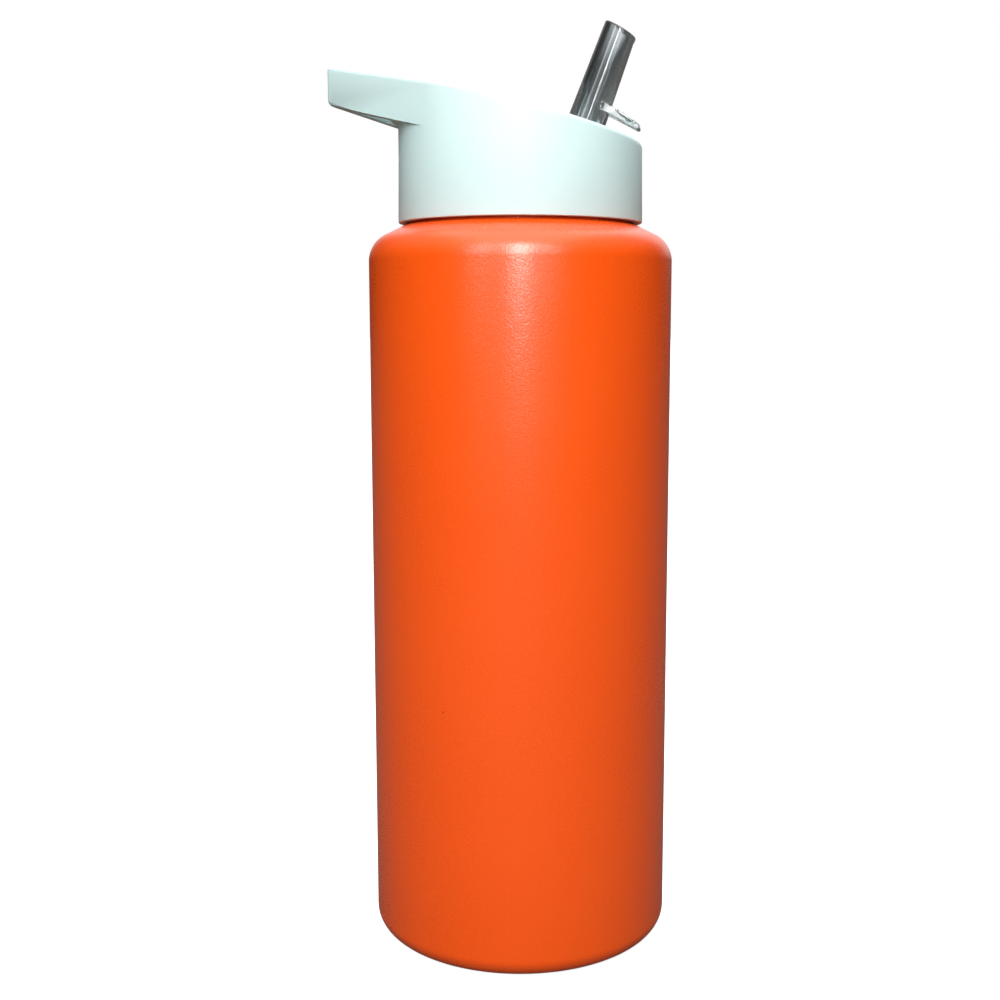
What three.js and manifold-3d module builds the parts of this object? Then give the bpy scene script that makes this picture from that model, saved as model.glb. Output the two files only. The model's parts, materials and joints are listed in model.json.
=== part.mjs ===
// A sports squeeze bottle: a moulded body, a screw lid with a slanted deck and a carry handle,
// and a clear spout that folds down into a channel in the deck.
// Millimetres, +Z up. The origin is the centre of the base; the handle points along -X and the open spout
// leans towards +X.
import * as THREE from "three";
import { mergeVertices } from "three/addons/utils/BufferGeometryUtils.js";
import Module from "manifold-3d";

const wasm = await Module();
wasm.setup();

// Gap left between pieces that touch or run in each other.
const GAP = 0.3;

// Bottle body.
const BODY_R = 36.5;
const BODY_WALL = 1.3;
const BASE_THICK = 1.6;
const BASE_CORNER_R = 4.8;
const BASE_PAD_R = 10;
const BASE_RECESS_R = 27.2;
const BASE_RECESS = 1;
const BASE_BEVEL = 1;
const SHOULDER_R = 7;
const SHOULDER_Z = 166;
const SHOULDER_SWEEP = THREE.MathUtils.degToRad(60);
const LEDGE_Z = 174.4;
const LEDGE_R = 28.6;

// Neck and its thread.
const NECK_R = 25.4;
const NECK_BORE_R = 23.5;
const NECK_EDGE = 0.5;
const RIM_Z = 187;
const THREAD_PITCH = 4.5;
const THREAD_TURNS = 1.5;
const THREAD_DEPTH = 1.3;
const THREAD_ROOT = 1.3;
const THREAD_CREST = 0.5;
const THREAD_SINK = 0.4;
const THREAD_Z = 177.6;

// Lid.
const LID_BOTTOM_Z = 175.1;
const LID_R = 29.2;
const LID_TOP_R = 29;
const LID_STRAIGHT_Z = 190;
const LID_BORE_R = 27.3;
const LID_LAND_Z = 188.8;
const DECK_Z = 201;
const DECK_SLOPE = 0.257;
const DECK_THICK = 2.2;
const ABOVE_Z = 220;

// Carry handle, as wide as the lid where it leaves it and narrow at its nose.
const NOSE_R = 2.2;
const NOSE_X = -45.2;
const HANDLE_UNDER_Z = 190.1;
const HANDLE_UNDER_SLOPE = 0.293;
const HANDLE_SINK = 0.1;
const HANDLE_LIMB = 4;
const SLOT_FROM_R = 31;
const SLOT_NOSE_R = 1.5;

// Spout, and how far it leans when open.
const PIVOT = new THREE.Vector2(13, 191);
const SPOUT_LEAN = THREE.MathUtils.degToRad(20.7);
const SPOUT_LENGTH = 31.2;
const SPOUT_R = 4.4;
const SPOUT_TIP_R = 3.9;
const SPOUT_BORE_R = 3.1;
const MOUTH_SLOPE = THREE.MathUtils.degToRad(32.7);
const BARREL_R = 5.6;
const BARREL_HALF = 5;
const TRUNNION_R = 2;
const TRUNNION_HALF = 6.9;
const PORT_R = 2.4;
const TAB_UP = 13.2;
const TAB_ANGLE = THREE.MathUtils.degToRad(-30.5);
const TAB_LENGTH = 12.8;
const TAB_WIDTH = 8.4;
const TAB_ROOT = 1.5;
const TAB_TIP = 0.65;

// Channel that the folded spout lies in, and the cradle that its barrel turns in.
const CHANNEL_WALL = 1.6;
const CHANNEL_LENGTH = 33.4;
const CHEEK_HALF = 8.4;

// Valve and drinking straw below the deck.
const SEAL_SIZE = 7.4;
const SEAL_BOTTOM_Z = 183;
const PLATE_THICK = 1.5;
const NIPPLE_R = 2.8;
const NIPPLE_BORE_R = 1.8;
const NIPPLE_LENGTH = 11;
const STRAW_R = 4;
const STRAW_BORE_R = NIPPLE_R + GAP;
const STRAW_BOTTOM_Z = 5;
const STRAW_CUT_SLOPE = 0.7;
const VENT_Y = 15.5;
const VENT_FLANGE_R = 3.2;

// Fineness of the round shapes.
const BODY_SIDES = 48;
const SMALL_SIDES = 24;
const THREAD_STEPS = 42;

const HALF_PI = Math.PI / 2;
const DECK_ANGLE = Math.atan(DECK_SLOPE);
const CHANNEL_HALF = BARREL_HALF + GAP;
const CHANNEL_DEPTH = SPOUT_R + GAP + 0.1;

// Directions in the middle plane, as (x, z): along the open spout and across it, along the folded spout and
// up from the deck.
const OPEN = new THREE.Vector2(Math.sin(SPOUT_LEAN), Math.cos(SPOUT_LEAN));
const OPEN_RIGHT = new THREE.Vector2(OPEN.y, -OPEN.x);
const FOLDED = new THREE.Vector2(-Math.cos(DECK_ANGLE), Math.sin(DECK_ANGLE));
const DECK_UP = new THREE.Vector2(Math.sin(DECK_ANGLE), Math.cos(DECK_ANGLE));
const PORT_X = PIVOT.x - BARREL_R * OPEN.x;

// A closed geometry as a solid that can be joined and cut.
function solid(geometry) {
  const bare = geometry.clone();
  bare.deleteAttribute("normal");
  bare.deleteAttribute("uv");
  const merged = mergeVertices(bare);
  const triangles = [];
  for (let i = 0; i < merged.index.count; i += 3) {
    const [a, b, c] = [0, 1, 2].map((k) => merged.index.getX(i + k));
    if (a !== b && b !== c && c !== a) triangles.push(a, b, c);
  }
  const make = (corners) =>
    new wasm.Manifold(
      new wasm.Mesh({
        numProp: 3,
        vertProperties: merged.attributes.position.array,
        triVerts: new Uint32Array(corners),
      }),
    );
  const made = make(triangles);
  return made.volume() > 0 ? made : make(triangles.reverse());
}

// A round solid about the vertical line through (x, y), from a profile of [radius, height] points.
function turned(profile, sides = SMALL_SIDES, x = 0, y = 0) {
  const points = profile.map(([r, z]) => new THREE.Vector2(r, z));
  const geometry = new THREE.LatheGeometry([...points, points[0]], sides);
  return solid(geometry.rotateX(HALF_PI).translate(x, y, 0));
}

function disc(radius, z0, z1, x = 0, y = 0, sides = SMALL_SIDES) {
  return turned([[0, z0], [radius, z0], [radius, z1], [0, z1]], sides, x, y);
}

// A cylinder across the bottle, along Y, centred on the spout's pivot.
function across(radius, half, sides = SMALL_SIDES) {
  const geometry = new THREE.CylinderGeometry(radius, radius, 2 * half, sides);
  return solid(geometry.translate(PIVOT.x, 0, PIVOT.y));
}

function block(width, depth, height, x, y, z) {
  return solid(new THREE.BoxGeometry(width, depth, height).translate(x, y, z));
}

// An outline in the middle plane, as (x, z) points, made 2 * half thick across the bottle.
function plate(points, half) {
  const shape = new THREE.Shape(points);
  const geometry = new THREE.ExtrudeGeometry(shape, { depth: 2 * half, bevelEnabled: false });
  return solid(geometry.rotateX(HALF_PI).translate(0, half, 0));
}

// Everything above, or below, the plane z = height - slope * x.
function above(height, slope, side = 1) {
  const size = 240;
  const geometry = new THREE.BoxGeometry(size, size, size).translate(0, 0, (side * size) / 2);
  return solid(geometry.rotateY(Math.atan(slope)).translate(0, 0, height));
}

function below(height, slope) {
  return above(height, slope, -1);
}

// The point that lies so far along one direction and so far along another from the spout's pivot.
function fromPivot(along, a, up = OPEN, b = 0) {
  return PIVOT.clone().addScaledVector(along, a).addScaledVector(up, b);
}

// Points of an arc about (x, z), in a profile's [radius, height] form.
function arc(x, z, radius, from, to, steps) {
  return Array.from({ length: steps + 1 }, (_, i) => {
    const angle = from + ((to - from) * i) / steps;
    return [x + radius * Math.cos(angle), z + radius * Math.sin(angle)];
  });
}

// The line that a screw thread follows. Its ends sink into the wall that carries it.
class ThreadPath extends THREE.Curve {
  constructor(radius, z, sink) {
    super();
    Object.assign(this, { radius, z, sink });
  }

  getPoint(t, target = new THREE.Vector3()) {
    const angle = 2 * Math.PI * THREAD_TURNS * t;
    const nearEnd = Math.max(0, 1 - Math.min(t, 1 - t) * 20);
    const radius = this.radius + this.sink * nearEnd;
    return target.set(
      radius * Math.cos(angle),
      radius * Math.sin(angle),
      this.z + THREAD_PITCH * THREAD_TURNS * t,
    );
  }

  computeFrenetFrames(steps) {
    const frames = { tangents: [], normals: [], binormals: [] };
    for (let i = 0; i <= steps; i++) {
      const point = this.getPointAt(i / steps);
      const tangent = this.getTangentAt(i / steps);
      const normal = new THREE.Vector3(point.x, point.y, 0).normalize();
      frames.tangents.push(tangent);
      frames.normals.push(normal);
      frames.binormals.push(tangent.clone().cross(normal).normalize());
    }
    return frames;
  }
}

// A thread standing out of a wall, outwards on the neck (side 1) or inwards in the lid (side -1).
function thread(radius, z, side) {
  const section = new THREE.Shape([
    new THREE.Vector2(-side * THREAD_SINK, -THREAD_ROOT),
    new THREE.Vector2(side * THREAD_DEPTH, -THREAD_CREST),
    new THREE.Vector2(side * THREAD_DEPTH, THREAD_CREST),
    new THREE.Vector2(-side * THREAD_SINK, THREAD_ROOT),
  ]);
  const path = new ThreadPath(radius, z, -side * (THREAD_DEPTH + GAP));
  return solid(new THREE.ExtrudeGeometry(section, { steps: THREAD_STEPS, extrudePath: path }));
}

// Body, shoulder and neck in one moulding with an even wall, open at the rim.
function bottleBody() {
  const cornerX = BODY_R - BASE_CORNER_R;
  const shoulderX = BODY_R - SHOULDER_R;
  const floorZ = BASE_RECESS + BASE_THICK;
  const innerCorner = BASE_CORNER_R - BODY_WALL;
  const innerLedge = LEDGE_Z - BASE_THICK;
  const profile = [
    [0, 0],
    [BASE_PAD_R, 0],
    [BASE_PAD_R + BASE_BEVEL, BASE_RECESS],
    [BASE_RECESS_R - BASE_BEVEL, BASE_RECESS],
    [BASE_RECESS_R, 0],
    ...arc(cornerX, BASE_CORNER_R, BASE_CORNER_R, -HALF_PI, 0, 6),
    ...arc(shoulderX, SHOULDER_Z, SHOULDER_R, 0, SHOULDER_SWEEP, 6),
    [LEDGE_R, LEDGE_Z - NECK_EDGE / 2],
    [LEDGE_R - NECK_EDGE, LEDGE_Z],
    [NECK_R + NECK_EDGE, LEDGE_Z],
    [NECK_R, LEDGE_Z + NECK_EDGE],
    [NECK_R, RIM_Z - NECK_EDGE],
    [NECK_R - NECK_EDGE, RIM_Z],
    [NECK_BORE_R + NECK_EDGE, RIM_Z],
    [NECK_BORE_R, RIM_Z - NECK_EDGE],
    [NECK_BORE_R, innerLedge + NECK_EDGE],
    [NECK_BORE_R + NECK_EDGE, innerLedge],
    [LEDGE_R - NECK_EDGE, innerLedge],
    ...arc(shoulderX, SHOULDER_Z, SHOULDER_R - BODY_WALL, SHOULDER_SWEEP, 0, 5),
    ...arc(cornerX, floorZ + innerCorner, innerCorner, 0, -HALF_PI, 4),
    [0, floorZ],
  ];
  return turned(profile, BODY_SIDES).add(thread(NECK_R, THREAD_Z, 1));
}

// The outline of lid and handle from above: two circles and the lines that touch both.
function teardrop(lidR, noseX, noseR) {
  const touch = Math.PI - Math.acos((lidR - noseR) / -noseX);
  const shape = new THREE.Shape();
  shape.absarc(0, 0, lidR, -touch, touch, false);
  shape.absarc(noseX, 0, noseR, touch, 2 * Math.PI - touch, false);
  return shape;
}

function standing(shape) {
  const geometry = new THREE.ExtrudeGeometry(shape, {
    depth: ABOVE_Z - LID_BOTTOM_Z,
    bevelEnabled: false,
    curveSegments: BODY_SIDES / 2,
  });
  return solid(geometry.translate(0, 0, LID_BOTTOM_Z));
}

// Handle with straight sides that run off the lid's wall, and a sloping underside.
function handle() {
  return standing(teardrop(LID_TOP_R - HANDLE_SINK, NOSE_X, NOSE_R))
    .subtract(below(HANDLE_UNDER_Z, HANDLE_UNDER_SLOPE))
    .subtract(block(BODY_R * 2, BODY_R * 2, ABOVE_Z, BODY_R, 0, DECK_Z));
}

// Slot for a strap or a finger, with limbs of even width beside it.
function handleSlot() {
  const narrowing = (LID_TOP_R - NOSE_R) / NOSE_X;
  const slotX = (LID_TOP_R - HANDLE_LIMB - SLOT_NOSE_R) / narrowing;
  return standing(teardrop(LID_TOP_R - HANDLE_LIMB, slotX, SLOT_NOSE_R))
    .subtract(disc(SLOT_FROM_R, LID_BOTTOM_Z - 1, ABOVE_Z + 1, 0, 0, BODY_SIDES));
}

// The channel's side view, grown by a wall: open upwards, with one end along the open spout.
function channelOutline(wall) {
  const depth = CHANNEL_DEPTH + wall;
  const clear = 14;
  return [
    fromPivot(OPEN_RIGHT, depth),
    fromPivot(OPEN_RIGHT, depth, OPEN, clear),
    fromPivot(FOLDED, CHANNEL_LENGTH + wall, DECK_UP, clear),
    fromPivot(FOLDED, CHANNEL_LENGTH + wall, DECK_UP, -depth),
    fromPivot(DECK_UP, -depth),
  ];
}

// Skirt, slanted deck, handle, spout channel and vent boss in one moulding.
function lidShell() {
  const deckUnder = DECK_Z - DECK_THICK / Math.cos(DECK_ANGLE);
  const skirt = turned(
    [[0, LID_BOTTOM_Z], [LID_R, LID_BOTTOM_Z], [LID_TOP_R, LID_STRAIGHT_Z], [LID_TOP_R, ABOVE_Z], [0, ABOVE_Z]],
    BODY_SIDES,
  );
  const inside = turned(
    [
      [0, LID_BOTTOM_Z - 1],
      [LID_BORE_R, LID_BOTTOM_Z - 1],
      [LID_BORE_R, LID_LAND_Z],
      [NECK_BORE_R, LID_LAND_Z],
      [NECK_BORE_R, ABOVE_Z],
      [0, ABOVE_Z],
    ],
    BODY_SIDES,
  ).subtract(above(deckUnder, DECK_SLOPE));
  const ventBoss = disc(VENT_FLANGE_R + 1.4, deckUnder - 4, DECK_Z, 0, VENT_Y);
  const trough = plate(channelOutline(CHANNEL_WALL), CHANNEL_HALF + CHANNEL_WALL)
    .add(across(BARREL_R + GAP + CHANNEL_WALL, CHEEK_HALF));
  const channel = plate(channelOutline(0), CHANNEL_HALF)
    .add(across(BARREL_R + GAP, CHANNEL_HALF))
    .add(across(TRUNNION_R + GAP, TRUNNION_HALF + GAP));
  const sealPocket = block(SEAL_SIZE + 2 * GAP, SEAL_SIZE + 2 * GAP, 8, PORT_X, 0, SEAL_BOTTOM_Z);
  const ventPocket = disc(VENT_FLANGE_R + GAP, deckUnder - 5, deckUnder - 0.8, 0, VENT_Y);
  return skirt
    .add(handle())
    .subtract(inside)
    .add(trough)
    .add(ventBoss)
    .add(thread(LID_BORE_R, THREAD_Z + THREAD_PITCH / 2, -1))
    .subtract(above(DECK_Z, DECK_SLOPE))
    .subtract(channel)
    .subtract(sealPocket)
    .subtract(ventPocket)
    .subtract(disc(1, deckUnder - 1, ABOVE_Z, 0, VENT_Y))
    .subtract(handleSlot());
}

// Flat ring between the bottle's rim and the lid.
function lidGasket() {
  const [inner, outer] = [NECK_BORE_R + GAP, LID_BORE_R - GAP];
  const [low, high] = [RIM_Z + GAP, LID_LAND_Z - GAP];
  return turned([[inner, low], [outer, low], [outer, high], [inner, high]], BODY_SIDES);
}

// Spout tube with its slanted mouth, the barrel that it turns on and the thumb tab.
function spout() {
  const mouthRight = new THREE.Vector2(Math.cos(MOUTH_SLOPE), -Math.sin(MOUTH_SLOPE));
  const mouthUp = new THREE.Vector2(Math.sin(MOUTH_SLOPE), Math.cos(MOUTH_SLOPE));
  const mouth = fromPivot(OPEN, SPOUT_LENGTH);
  const mouthCorner = (right, up) =>
    mouth.clone().addScaledVector(mouthRight, right).addScaledVector(mouthUp, up);
  const beyond = plate(
    [mouthCorner(-12, 0), mouthCorner(12, 0), mouthCorner(12, 12), mouthCorner(-12, 12)],
    BARREL_HALF * 2,
  );
  const lean = (geometry) => solid(geometry.rotateY(SPOUT_LEAN).translate(PIVOT.x, 0, PIVOT.y));
  const long = SPOUT_LENGTH + 4;
  const tube = lean(
    new THREE.CylinderGeometry(SPOUT_TIP_R, SPOUT_R, long, SMALL_SIDES)
      .rotateX(HALF_PI).translate(0, 0, long / 2),
  );
  const bore = lean(
    new THREE.CylinderGeometry(SPOUT_BORE_R, SPOUT_BORE_R, long, SMALL_SIDES)
      .rotateX(HALF_PI).translate(0, 0, long / 2 + BARREL_R),
  );
  const port = lean(
    new THREE.CylinderGeometry(PORT_R, PORT_R, 4 * BARREL_R, SMALL_SIDES).rotateX(HALF_PI),
  );
  const root = fromPivot(OPEN, TAB_UP);
  const tabAlong = new THREE.Vector2(Math.cos(TAB_ANGLE), Math.sin(TAB_ANGLE));
  const tabUp = new THREE.Vector2(-tabAlong.y, tabAlong.x);
  const tabCorner = (along, up) =>
    root.clone().addScaledVector(tabAlong, along).addScaledVector(tabUp, up);
  const tab = plate(
    [
      tabCorner(0, -TAB_ROOT),
      tabCorner(TAB_LENGTH, -TAB_TIP),
      tabCorner(TAB_LENGTH, TAB_TIP),
      tabCorner(0, TAB_ROOT),
    ],
    TAB_WIDTH / 2,
  );
  return tube
    .subtract(beyond)
    .add(across(BARREL_R, BARREL_HALF))
    .add(across(TRUNNION_R, TRUNNION_HALF))
    .add(tab)
    .subtract(bore)
    .subtract(port);
}

// Soft pad that the barrel slides on, hollowed to the barrel's curve and pierced by the port.
function spoutSeal() {
  const height = 4;
  return block(SEAL_SIZE, SEAL_SIZE, height, PORT_X, 0, SEAL_BOTTOM_Z + height / 2)
    .subtract(across(BARREL_R + GAP, CHANNEL_HALF))
    .subtract(disc(PORT_R, SEAL_BOTTOM_Z - 1, PIVOT.y, PORT_X));
}

// Plate that holds the seal up in its pocket, with the nipple that the straw pushes onto.
function sealRetainer() {
  const top = SEAL_BOTTOM_Z - GAP;
  const under = top - PLATE_THICK;
  return block(2 * SEAL_SIZE, 2 * SEAL_SIZE - 2, PLATE_THICK, PORT_X, 0, top - PLATE_THICK / 2)
    .add(disc(NIPPLE_R, under - NIPPLE_LENGTH, top - PLATE_THICK / 2, PORT_X))
    .subtract(disc(NIPPLE_BORE_R, under - NIPPLE_LENGTH - 1, top + 1, PORT_X));
}

// Long straw from the nipple to just above the floor, cut at a slant so that it can't seal itself off.
function dipStraw() {
  const top = SEAL_BOTTOM_Z - PLATE_THICK - 2 * GAP;
  return disc(STRAW_R, STRAW_BOTTOM_Z, top, PORT_X)
    .subtract(disc(STRAW_BORE_R, STRAW_BOTTOM_Z - 1, top + 1, PORT_X))
    .subtract(below(STRAW_BOTTOM_Z + STRAW_R * STRAW_CUT_SLOPE + PORT_X * STRAW_CUT_SLOPE, STRAW_CUT_SLOPE));
}

// Soft duckbill that lets air in as the bottle empties and keeps the drink from running out.
function ventValve() {
  const top = DECK_Z - DECK_THICK / Math.cos(DECK_ANGLE) - 0.8 - GAP;
  return turned(
    [
      [0, top - 5],
      [0.5, top - 5.6],
      [1.1, top - 5.6],
      [2.1, top - 1.2],
      [VENT_FLANGE_R, top - 1.2],
      [VENT_FLANGE_R, top],
      [0.9, top],
      [0.9, top - 3],
      [0, top - 3.6],
    ],
    SMALL_SIDES,
    0,
    VENT_Y,
  );
}

const ORANGE = { color: 0xf4551a, roughness: 0.42, metalness: 0 };
const WHITE = { color: 0xe2f4ee, roughness: 0.38, metalness: 0 };
const CLEAR = { color: 0xc4cdd0, roughness: 0.05, metalness: 0 };
const SILICONE = { color: 0xd8dad6, roughness: 0.6, metalness: 0 };
const NATURAL = { color: 0xe8ebe8, roughness: 0.3, metalness: 0 };

const bottle = new THREE.Group();

function part(name, shape, finish) {
  const made = shape.getMesh();
  const geometry = new THREE.BufferGeometry();
  geometry.setAttribute("position", new THREE.BufferAttribute(made.vertProperties, 3));
  geometry.setIndex(new THREE.BufferAttribute(made.triVerts, 1));
  geometry.computeVertexNormals();
  const mesh = new THREE.Mesh(geometry, new THREE.MeshStandardMaterial(finish));
  mesh.name = name;
  bottle.add(mesh);
}

part("bottle_body", bottleBody(), ORANGE);
part("lid_shell", lidShell(), WHITE);
part("lid_gasket", lidGasket(), SILICONE);
part("spout", spout(), CLEAR);
part("spout_seal", spoutSeal(), SILICONE);
part("seal_retainer", sealRetainer(), NATURAL);
part("dip_straw", dipStraw(), NATURAL);
part("vent_valve", ventValve(), SILICONE);

export default bottle;
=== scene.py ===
# %% [markdown]
# # A sports squeeze bottle
# An orange squeeze bottle with a white screw lid. The lid's deck slopes, runs out into a carry handle on
# one side, and holds a clear spout that folds flat into a channel. The sizes and the places where things
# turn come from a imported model, the frame, and this script builds the fine surfaces and the finishes around
# it.

# %% Load the frame
import json
import math

import bmesh
import bpy
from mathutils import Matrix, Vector


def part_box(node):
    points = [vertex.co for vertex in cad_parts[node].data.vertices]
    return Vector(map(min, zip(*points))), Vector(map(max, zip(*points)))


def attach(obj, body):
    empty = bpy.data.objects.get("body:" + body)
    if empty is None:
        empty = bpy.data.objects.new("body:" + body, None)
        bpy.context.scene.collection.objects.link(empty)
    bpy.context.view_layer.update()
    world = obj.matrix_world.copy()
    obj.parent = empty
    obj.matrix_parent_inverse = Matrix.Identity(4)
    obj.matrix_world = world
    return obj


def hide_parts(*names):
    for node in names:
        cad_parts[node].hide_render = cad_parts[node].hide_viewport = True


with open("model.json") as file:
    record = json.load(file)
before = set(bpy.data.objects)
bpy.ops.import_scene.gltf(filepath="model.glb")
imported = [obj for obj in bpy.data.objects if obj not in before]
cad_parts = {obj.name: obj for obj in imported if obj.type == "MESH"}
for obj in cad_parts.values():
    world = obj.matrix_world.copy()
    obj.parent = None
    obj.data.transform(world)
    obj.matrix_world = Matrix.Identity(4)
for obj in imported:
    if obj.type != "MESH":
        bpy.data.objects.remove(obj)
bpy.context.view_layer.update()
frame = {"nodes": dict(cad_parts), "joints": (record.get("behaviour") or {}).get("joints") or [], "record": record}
print("frame nodes:", sorted(frame["nodes"]))

# %% [markdown]
# ## Measures
# The frame is in metres with +Z up. What it holds is read from it, so the pieces fit each other and the
# motion: the body's radius, the rim, the lid's ends, the point that the spout turns on and the pitch of the
# screw thread. The rest are heights, wall thicknesses and roundings that a moulder would choose, written in
# millimetres.

# %% Read the sizes
MM = 0.001
body_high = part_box("bottle_body")[1]
lid_low, lid_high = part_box("lid_shell")
joints = {joint["name"]: joint for joint in frame["joints"]}
coupling = frame["record"]["behaviour"]["couplings"][0]

BODY_R = body_high.x
RIM_Z = body_high.z
LID_BOTTOM_Z = lid_low.z
LID_R = lid_high.x
LID_DRAFT = 0.2 * MM
LID_TOP_R = LID_R - LID_DRAFT
DECK_SLOPE = 0.257
DECK_Z = lid_high.z + DECK_SLOPE * lid_low.x
DECK_ANGLE = math.atan(DECK_SLOPE)
PIVOT = Vector(joints["spout_flip"]["pos_m"])
PITCH = coupling["ratio"] * 2 * math.pi
print(f"body {BODY_R / MM:.1f} mm in radius, rim at {RIM_Z / MM:.1f}, deck at {DECK_Z / MM:.1f}")
print(f"thread pitch {PITCH / MM:.2f} mm")

# %% [markdown]
# ## Working by hand, in code
# Each piece starts as a primitive and is shaped in edit mode. These helpers are the few moves that repeat:
# start a piece, pick its faces or edges by where they are, cut it by a plane, and join or cut it with
# another solid. Everything is deselected first, because an operator works on all that is selected.

# %% Start and close a piece
MERGE = 0.001 * MM


def activate(piece):
    bpy.ops.object.select_all(action="DESELECT")
    piece.select_set(True)
    bpy.context.view_layer.objects.active = piece


def start(shape, name, **place):
    """Adds a primitive as a new piece and opens it for editing."""
    bpy.ops.object.select_all(action="DESELECT")
    getattr(bpy.ops.mesh, f"primitive_{shape}_add")(**place)
    piece = bpy.context.object
    piece.name = piece.data.name = name
    bpy.ops.object.transform_apply(location=True, rotation=True, scale=True)
    edit(piece)
    return piece


def edit(piece):
    activate(piece)
    bpy.ops.object.mode_set(mode="EDIT")
    bpy.ops.mesh.select_mode(type="VERT")
    bpy.ops.mesh.select_all(action="SELECT")


def close(piece):
    """Merges what coincides, points the faces outwards and leaves edit mode."""
    bpy.ops.mesh.select_all(action="SELECT")
    bpy.ops.mesh.remove_doubles(threshold=MERGE)
    bpy.ops.mesh.normals_make_consistent(inside=False)
    bpy.ops.object.mode_set(mode="OBJECT")
    return piece


# %% Pick, slice and combine
def pick(piece, kind, test):
    """Selects the vertices, edges or faces that pass a test, and returns how many did."""
    bpy.ops.mesh.select_mode(type=kind)
    bpy.ops.mesh.select_all(action="DESELECT")
    mesh = bmesh.from_edit_mesh(piece.data)
    items = {"VERT": mesh.verts, "EDGE": mesh.edges, "FACE": mesh.faces}[kind]
    chosen = [item for item in items if test(item)]
    for item in chosen:
        item.select_set(True)
    bmesh.update_edit_mesh(piece.data)
    return len(chosen)


def upright(edge):
    """Tells whether an edge climbs by more than a millimetre."""
    return abs(edge.verts[0].co.z - edge.verts[1].co.z) > MM


def round_off(offset, segments):
    """Rounds the selected edges with a bevel."""
    bpy.ops.mesh.bevel(offset=offset, segments=segments, affect="EDGES")


def slice_off(point, normal):
    """Cuts the piece being edited by a plane, drops the side the normal points to and closes the cut."""
    bpy.ops.mesh.select_all(action="SELECT")
    bpy.ops.mesh.bisect(plane_co=point, plane_no=normal, use_fill=True, clear_outer=True)


def modify(piece, kind, **settings):
    """Adds a modifier and applies it at once."""
    activate(piece)
    modifier = piece.modifiers.new(kind.lower(), kind)
    for setting, value in settings.items():
        setattr(modifier, setting, value)
    bpy.ops.object.modifier_apply(modifier=modifier.name)


def combine(piece, operation, *tools):
    """Joins tool solids to a piece, or cuts them away, and uses them up."""
    for tool in tools:
        modify(piece, "BOOLEAN", operation=operation, object=tool, solver="MANIFOLD")
        bpy.data.objects.remove(tool)


# %% Lines, turned solids and flat plates
def line(name, points):
    """Starts a piece as a line through (across, up) points in the middle plane."""
    piece = start("plane", name, size=MM)
    bpy.ops.mesh.merge(type="CENTER")
    places = [Vector((x, 0, z)) for x, z in points]
    bpy.ops.transform.translate(value=places[0])
    for here, there in zip(places, places[1:]):
        bpy.ops.mesh.extrude_region_move(TRANSFORM_OT_translate={"value": there - here})
    bpy.ops.mesh.select_all(action="SELECT")
    return piece


def turned(name, profile, sides=64):
    """Turns a profile of (radius, height) points once round the Z axis."""
    piece = line(name, profile)
    bpy.ops.mesh.spin(steps=sides, angle=2 * math.pi, center=(0, 0, 0), axis=(0, 0, 1))
    return close(piece)


def plate(name, outline, half):
    """Fills an outline in the middle plane and makes it 2 * half thick across the bottle."""
    piece = line(name, [*outline, outline[0]])
    bpy.ops.mesh.remove_doubles(threshold=MERGE)
    bpy.ops.mesh.edge_face_add()
    bpy.ops.transform.translate(value=(0, -half, 0))
    bpy.ops.mesh.extrude_region_move(TRANSFORM_OT_translate={"value": (0, 2 * half, 0)})
    return close(piece)


def arc(x, z, radius, start_deg, end_deg, steps):
    """Points of an arc about (x, z)."""
    angles = [math.radians(start_deg + (end_deg - start_deg) * i / steps) for i in range(steps + 1)]
    return [(x + radius * math.cos(a), z + radius * math.sin(a)) for a in angles]


def settle(piece, turn=(0, 0, 0), place=(0, 0, 0)):
    """Turns and moves a piece, and keeps that in its mesh."""
    activate(piece)
    piece.rotation_euler = turn
    piece.location = place
    bpy.ops.object.transform_apply(location=True, rotation=True, scale=True)
    return piece


def smooth(piece, degrees=32):
    activate(piece)
    bpy.ops.object.shade_smooth_by_angle(angle=math.radians(degrees))
    faces = len(piece.data.polygons)
    print(f"{piece.name}: {faces} faces, {len(piece.data.vertices)} vertices")
    return piece


# %% [markdown]
# ## The body
# The real body is blown or moulded in one piece: an even wall from the standing ring, up the straight side,
# over a rounded shoulder and into the neck, with a low bead behind the lid's edge. A turned profile gives
# that directly, inside and outside in one line that starts and ends on the axis, and every rounding is an
# arc in the line. The neck carries a screw thread of one and a half turns, which shows whenever the lid is
# unscrewed.

# %% Draw the body's profile
WALL = 1.3 * MM
CORNER = 4.8 * MM
SHOULDER = 7 * MM
SHOULDER_TURN = 60
SHOULDER_Z = 166 * MM
LEDGE_Z = 174.4 * MM
LEDGE_R = 28.6 * MM
BEAD_R = 26.9 * MM
BEAD_TOP = 176.2 * MM
NECK_R = 25.4 * MM
NECK_BORE = 23.5 * MM
EDGE = 0.5 * MM
FLOOR_Z = 2.6 * MM


def base_profile():
    """From the middle of the base: a flush pad, the raised recess, and the ring that it stands on."""
    pad = 10 * MM
    recess = 27.2 * MM
    rise = 1 * MM
    soft = 0.45 * MM
    lift = 0.15 * MM
    return [
        (0, 0),
        (pad - soft, 0),
        (pad, lift),
        (pad + rise, rise - lift),
        (pad + rise + soft, rise),
        (recess - rise - soft, rise),
        (recess - rise, rise - lift),
        (recess, lift),
        (recess + soft, 0),
    ]


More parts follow.
